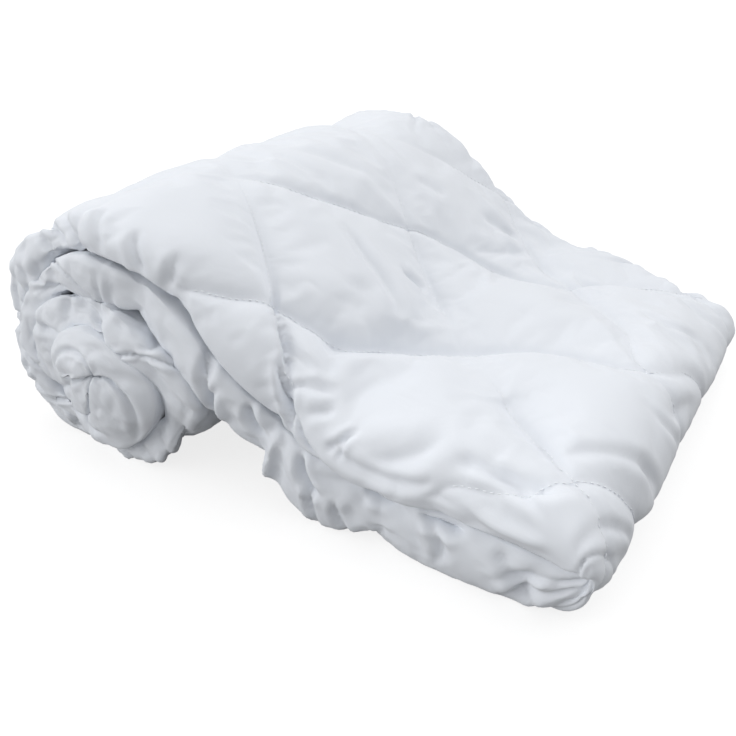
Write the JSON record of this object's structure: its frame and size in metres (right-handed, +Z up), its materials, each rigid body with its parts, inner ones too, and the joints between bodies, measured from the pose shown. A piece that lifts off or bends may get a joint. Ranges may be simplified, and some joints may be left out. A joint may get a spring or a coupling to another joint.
{
  "type": "rolled duvet",
  "caption": "White diamond-quilted duvet folded into a padded strip and loosely rolled from one end, its flat tail lying in front of the roll",
  "frame": {"origin": "centre of the bounding box at the surface that the duvet lies on", "axes": "+X runs from the roll to the folded end of the tail, +Y from the face with the visible spiral to the back, +Z up"},
  "size_m": [0.5228, 0.4833, 0.2068],
  "materials": {
    "cover": "smooth matt white brushed microfibre, diamond quilted"
  },
  "bodies": {
    "root": {"duvet": "cover"}
  },
  "joints": []
}
